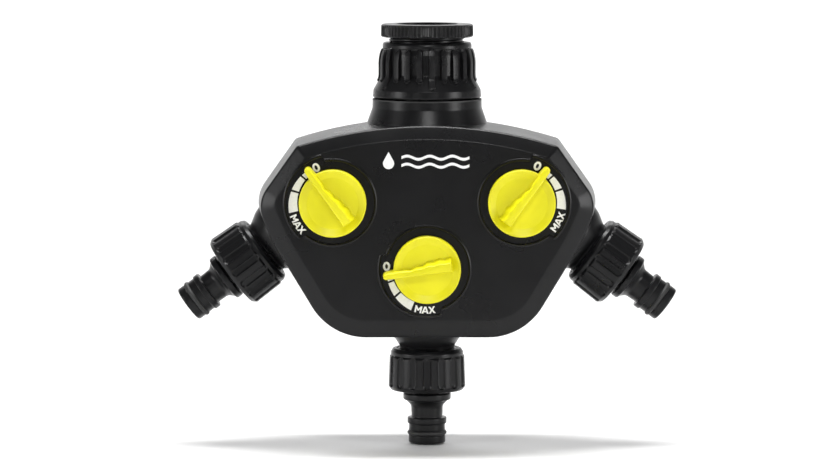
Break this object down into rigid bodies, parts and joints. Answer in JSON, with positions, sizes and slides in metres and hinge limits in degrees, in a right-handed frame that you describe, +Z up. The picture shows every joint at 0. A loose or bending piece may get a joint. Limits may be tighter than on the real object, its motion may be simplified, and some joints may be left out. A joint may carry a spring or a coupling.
{
  "type": "hose splitter",
  "caption": "Three-way garden tap distributor: swivel screw inlet, clamshell housing, quarter-turn ball valves with pointer knobs, and screw-on quick-connect spigots.",
  "frame": {"origin": "centre of the tap inlet's mouth, in the plane of the knurled ring's top", "axes": "+Z up along the inlet, +X to the right seen from the knobs' side, and the knobs face -Y"},
  "size_m": [0.2168, 0.0685, 0.1829],
  "materials": {
    "black_plastic": "satin",
    "yellow_plastic": "satin",
    "white_plastic": "matte",
    "rubber": "matte",
    "steel": "satin",
    "brass": "satin"
  },
  "bodies": {
    "housing": {"front_cover": "black_plastic", "rear_cover": "black_plastic", "cover_screws": "steel", "manifold": "black_plastic", "inlet_retaining_ring": "steel", "left_outlet_stub": "black_plastic", "left_stub_oring": "rubber", "left_inlet_seat": "white_plastic", "left_outlet_seat": "white_plastic", "centre_outlet_stub": "black_plastic", "centre_stub_oring": "rubber", "centre_inlet_seat": "white_plastic", "centre_outlet_seat": "white_plastic", "right_outlet_stub": "black_plastic", "right_stub_oring": "rubber", "right_inlet_seat": "white_plastic", "right_outlet_seat": "white_plastic"},
    "inlet_nut": {"inlet_nut": "black_plastic", "inlet_washer": "rubber"},
    "reducer_washer": {"reducer_washer": "rubber"},
    "reducer": {"reducer": "black_plastic"},
    "left_valve": {"left_knob": "yellow_plastic", "left_valve_spindle": "brass", "left_spindle_orings": "rubber", "left_valve_ball": "steel"},
    "centre_valve": {"centre_knob": "yellow_plastic", "centre_valve_spindle": "brass", "centre_spindle_orings": "rubber", "centre_valve_ball": "steel"},
    "right_valve": {"right_knob": "yellow_plastic", "right_valve_spindle": "brass", "right_spindle_orings": "rubber", "right_valve_ball": "steel"},
    "left_adaptor_washer": {"left_adaptor_washer": "rubber"},
    "left_adaptor": {"left_adaptor": "black_plastic", "left_spigot_oring": "rubber"},
    "centre_adaptor_washer": {"centre_adaptor_washer": "rubber"},
    "centre_adaptor": {"centre_adaptor": "black_plastic", "centre_spigot_oring": "rubber"},
    "right_adaptor_washer": {"right_adaptor_washer": "rubber"},
    "right_adaptor": {"right_adaptor": "black_plastic", "right_spigot_oring": "rubber"}
  },
  "joints": [
    {"name": "inlet_nut_swivel", "type": "hinge", "parent": "housing", "child": "inlet_nut", "pos_m": [0, 0, -0.02], "axis": [0, 0, 1], "continuous": true},
    {"name": "reducer_lift", "type": "slide", "parent": "inlet_nut", "child": "reducer_washer", "axis": [0, 0, 1], "range_m": [0, 0.00924]},
    {"name": "reducer_screw", "type": "hinge", "parent": "reducer_washer", "child": "reducer", "pos_m": [0, 0, 0], "axis": [0, 0, 1], "range_deg": [0, 1440]},
    {"name": "left_valve_turn", "type": "hinge", "parent": "housing", "child": "left_valve", "pos_m": [-0.04035, 0, -0.07526], "axis": [0, -1, 0], "range_deg": [0, 90]},
    {"name": "centre_valve_turn", "type": "hinge", "parent": "housing", "child": "centre_valve", "pos_m": [0, 0, -0.1037], "axis": [0, -1, 0], "range_deg": [0, 90]},
    {"name": "right_valve_turn", "type": "hinge", "parent": "housing", "child": "right_valve", "pos_m": [0.04035, 0, -0.07526], "axis": [0, 1, 0], "range_deg": [0, 90]},
    {"name": "left_adaptor_slide", "type": "slide", "parent": "housing", "child": "left_adaptor_washer", "axis": [-0.8039, 0, -0.5948], "range_m": [0, 0.0109]},
    {"name": "left_adaptor_screw", "type": "hinge", "parent": "left_adaptor_washer", "child": "left_adaptor", "pos_m": [-0.07733, 0, -0.10262], "axis": [-0.8039, 0, -0.5948], "range_deg": [0, 2160]},
    {"name": "centre_adaptor_slide", "type": "slide", "parent": "housing", "child": "centre_adaptor_washer", "axis": [0, 0, -1], "range_m": [0, 0.0109]},
    {"name": "centre_adaptor_screw", "type": "hinge", "parent": "centre_adaptor_washer", "child": "centre_adaptor", "pos_m": [0, 0, -0.1497], "axis": [0, 0, -1], "range_deg": [0, 2160]},
    {"name": "right_adaptor_slide", "type": "slide", "parent": "housing", "child": "right_adaptor_washer", "axis": [0.8039, 0, -0.5948], "range_m": [0, 0.0109]},
    {"name": "right_adaptor_screw", "type": "hinge", "parent": "right_adaptor_washer", "child": "right_adaptor", "pos_m": [0.07733, 0, -0.10262], "axis": [0.8039, 0, -0.5948], "range_deg": [0, 2160]}
  ],
  "couplings": [
    {"joint": "reducer_lift", "follows": "reducer_screw", "m_per_rad": 0.00036749},
    {"joint": "left_adaptor_slide", "follows": "left_adaptor_screw", "m_per_rad": 0.00028871},
    {"joint": "centre_adaptor_slide", "follows": "centre_adaptor_screw", "m_per_rad": 0.00028871},
    {"joint": "right_adaptor_slide", "follows": "right_adaptor_screw", "m_per_rad": 0.00028871}
  ]
}
